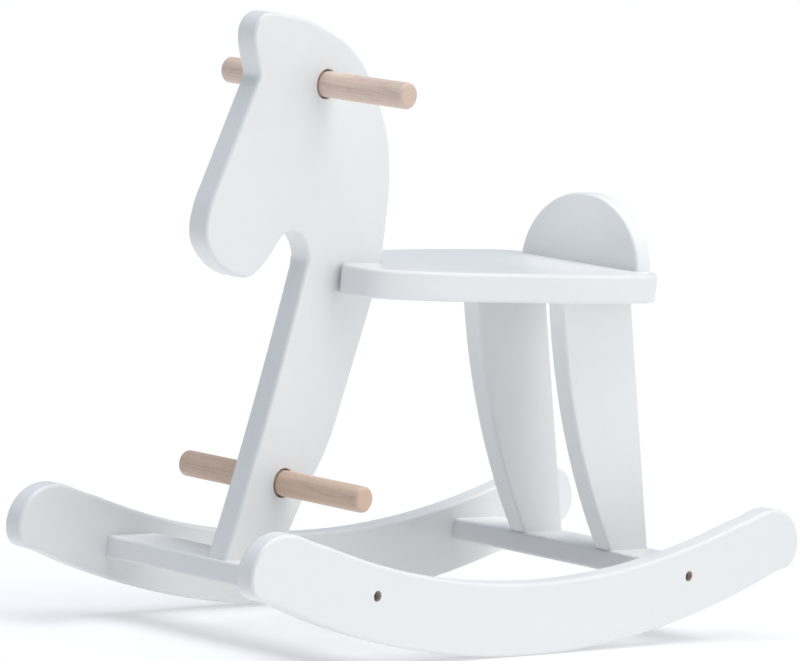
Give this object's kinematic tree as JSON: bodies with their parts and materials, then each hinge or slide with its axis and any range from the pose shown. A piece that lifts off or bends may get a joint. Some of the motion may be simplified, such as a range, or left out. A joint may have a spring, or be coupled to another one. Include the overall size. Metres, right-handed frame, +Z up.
{
  "type": "rocking horse",
  "caption": "Toddler's rocking horse in white painted boards, with a flat horse-head panel, slotted seat, half-round backrest, curved rockers and beech dowels for hands and feet.",
  "frame": {"origin": "on the floor under the middle of the rockers, midway between them, where both rockers touch the floor", "axes": "+Z up; the horse's nose points to -Y and its tail end to +Y; +X is the horse's left side"},
  "size_m": [0.279, 0.725, 0.5237],
  "materials": {
    "paint": "satin white water-based paint on smooth board, edges rounded over",
    "beech": "sanded beech, clear matt lacquer",
    "pin_beech": "raw fluted beech",
    "bolt_steel": "zinc plated, slightly yellowed",
    "screw_steel": "zinc plated"
  },
  "bodies": {
    "root": {"head_panel": "paint", "seat_board": "paint", "backrest": "paint", "rear_leg_left": "paint", "rear_leg_right": "paint", "front_cross_bar": "paint", "rear_cross_bar": "paint", "rocker_left": "paint", "rocker_right": "paint", "handle_dowel": "beech", "footrest_dowel": "beech", "rocker_pins": "pin_beech", "seat_leg_pins": "pin_beech", "seat_neck_pin": "pin_beech", "backrest_pins": "pin_beech", "rocker_bolts": "bolt_steel", "barrel_nuts": "bolt_steel", "head_foot_screws": "screw_steel", "leg_foot_screws": "screw_steel", "backrest_screws": "screw_steel", "handle_lock_screw": "screw_steel", "footrest_lock_screw": "screw_steel"}
  },
  "joints": []
}
